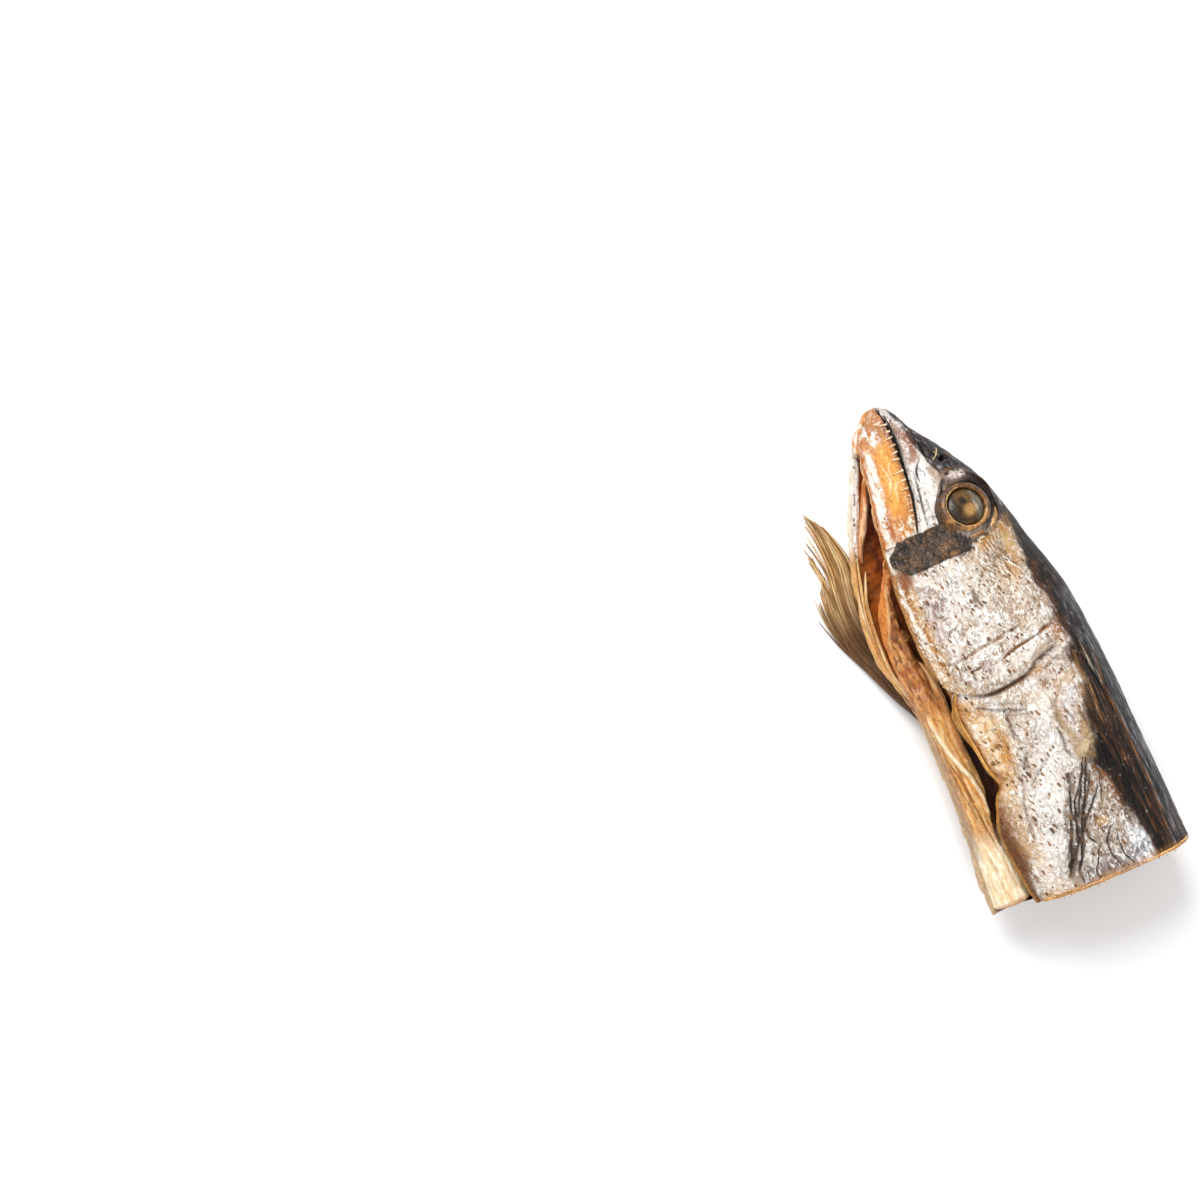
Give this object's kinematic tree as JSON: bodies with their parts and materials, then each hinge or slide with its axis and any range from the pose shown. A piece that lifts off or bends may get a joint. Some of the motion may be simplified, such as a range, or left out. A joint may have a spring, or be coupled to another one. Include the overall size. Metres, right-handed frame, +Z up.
{
  "type": "dried salted fish head",
  "caption": "Dried salted fish, head and shoulders, split along throat and belly and cut square, lying on one flank with jaw, eye, gill cover and bent fin.",
  "frame": {"origin": "under the middle of the bounding box, on the surface that the fish lies on", "axes": "+Z up through the upper flank, -X towards the snout, +Y towards the fish's back"},
  "size_m": [0.1156, 0.0544, 0.0265],
  "materials": {
    "dried_skin": "dried fish skin and flesh, dull satin with silver patches"
  },
  "bodies": {
    "root": {"dried_fish": "dried_skin"}
  },
  "joints": []
}
